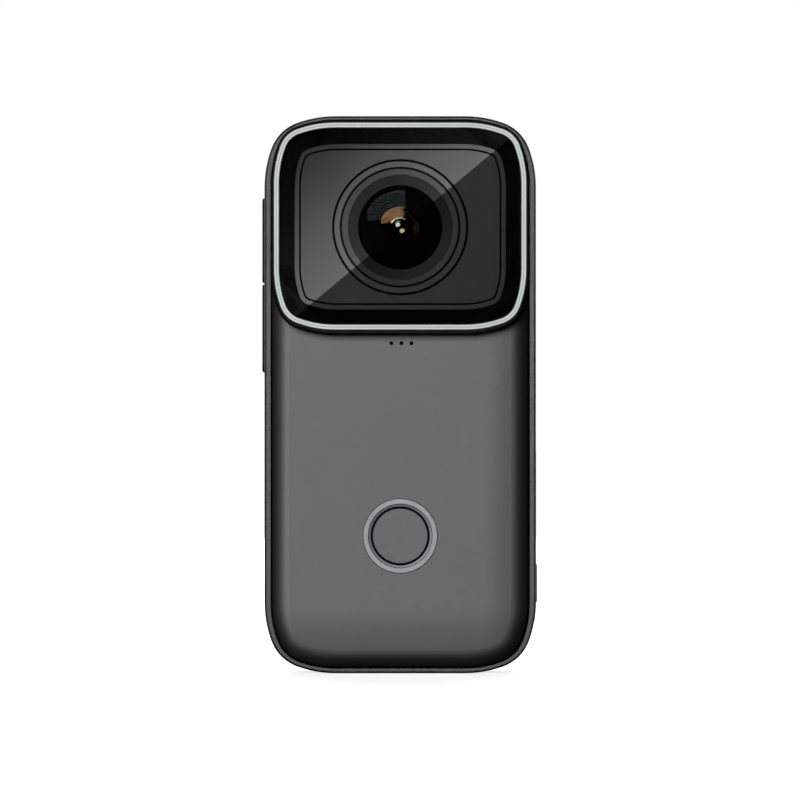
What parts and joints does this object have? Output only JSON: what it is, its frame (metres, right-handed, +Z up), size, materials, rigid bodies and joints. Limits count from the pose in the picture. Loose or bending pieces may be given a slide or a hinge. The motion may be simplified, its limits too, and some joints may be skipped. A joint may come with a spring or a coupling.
{
  "type": "action camera",
  "caption": "Upright thumb-sized action camera with a square lens window, round front button, side buttons, hinged side door, rear screen and a tripod socket.",
  "frame": {"origin": "centre of the tripod socket on the flat bottom face", "axes": "+X to the viewer's right when looking at the lens, -Y out of the front, +Z up"},
  "size_m": [0.039, 0.026, 0.079],
  "materials": {
    "band_metal": "fine bead-blasted, anodised grey",
    "shell_plastic": "fine matte texture",
    "black_plastic": "matte",
    "button_plastic": "satin",
    "record_cap_plastic": "satin",
    "ring_metal": "satin turned",
    "trim_metal": "polished bevels",
    "window_clear": "polished",
    "adhesive": "matte",
    "plate_paint": "fine satin paint",
    "black_metal": "fine turned, black anodised",
    "lens_glass": "polished and coated",
    "filter_glass": "polished",
    "sensor_silicon": "iridescent",
    "circuit_board": "solder mask",
    "flex_film": "polyimide film",
    "switch_metal": "stamped",
    "steel": "machined",
    "shield_metal": "tinned",
    "chip_epoxy": "moulded epoxy",
    "thermal_rubber": "soft",
    "spreader_metal": "rolled sheet",
    "seal_rubber": "matte",
    "gold_metal": "plated",
    "screen_glass": "polished, black backed",
    "panel": "laminated",
    "mesh_fabric": "woven",
    "battery_wrap": "shrink film"
  },
  "bodies": {
    "camera": {"mid_frame": "band_metal", "front_gasket": "seal_rubber", "rear_gasket": "seal_rubber", "front_cover": "shell_plastic", "rear_cover": "shell_plastic", "case_screws": "steel", "tripod_nut": "steel", "lens_bezel": "black_plastic", "bezel_trim": "trim_metal", "window_glass": "window_clear", "window_seal": "adhesive", "lens_surround": "plate_paint", "lens_collar": "black_metal", "lens_barrel": "black_metal", "lens_retainer": "black_metal", "front_element": "lens_glass", "second_element": "lens_glass", "third_element": "lens_glass", "rear_element": "lens_glass", "aperture_stop": "black_metal", "lens_holder": "black_plastic", "ir_filter": "filter_glass", "image_sensor": "sensor_silicon", "sensor_board": "circuit_board", "sensor_flex": "flex_film", "record_ring": "ring_metal", "record_seal": "seal_rubber", "record_switch": "switch_metal", "record_switch_board": "flex_film", "side_switches": "switch_metal", "side_switch_board": "flex_film", "microphone": "shield_metal", "mic_membrane": "mesh_fabric", "main_board": "circuit_board", "processor_shield": "shield_metal", "memory_chips": "chip_epoxy", "thermal_pad": "thermal_rubber", "heat_spreader": "spreader_metal", "antenna": "gold_metal", "display_glass": "screen_glass", "display_seal": "adhesive", "display_module": "panel", "display_flex": "flex_film", "speaker": "black_plastic", "speaker_mesh": "mesh_fabric", "battery": "battery_wrap", "battery_tray": "black_plastic", "battery_contacts": "gold_metal", "card_socket": "shield_metal", "usb_shell": "steel", "usb_tongue": "black_plastic", "hinge_pin": "steel"},
    "record_button": {"record_button": "record_cap_plastic"},
    "power_button": {"power_button": "button_plastic"},
    "mode_button": {"mode_button": "button_plastic"},
    "memory_card": {"memory_card": "chip_epoxy"},
    "side_door": {"side_door": "shell_plastic", "door_seal": "seal_rubber"},
    "door_latch": {"door_latch": "button_plastic"}
  },
  "joints": [
    {"name": "record_press", "type": "slide", "parent": "camera", "child": "record_button", "axis": [0, 1, 0], "range_m": [0, 0.00035], "stiffness_N_per_m": 3000},
    {"name": "power_press", "type": "slide", "parent": "camera", "child": "power_button", "axis": [1, 0, 0], "range_m": [0, 0.0003], "stiffness_N_per_m": 4000},
    {"name": "mode_press", "type": "slide", "parent": "camera", "child": "mode_button", "axis": [1, 0, 0], "range_m": [0, 0.0003], "stiffness_N_per_m": 4000},
    {"name": "door_hinge", "type": "hinge", "parent": "camera", "child": "side_door", "pos_m": [0.01815, 0.00745, 0.0195], "axis": [0, 0, 1], "range_deg": [0, 95]},
    {"name": "latch_slide", "type": "slide", "parent": "side_door", "child": "door_latch", "axis": [0, 0, -1], "range_m": [0, 0.0012]},
    {"name": "card_press", "type": "slide", "parent": "camera", "child": "memory_card", "axis": [-1, 0, 0], "range_m": [0, 0.0008], "stiffness_N_per_m": 800}
  ]
}
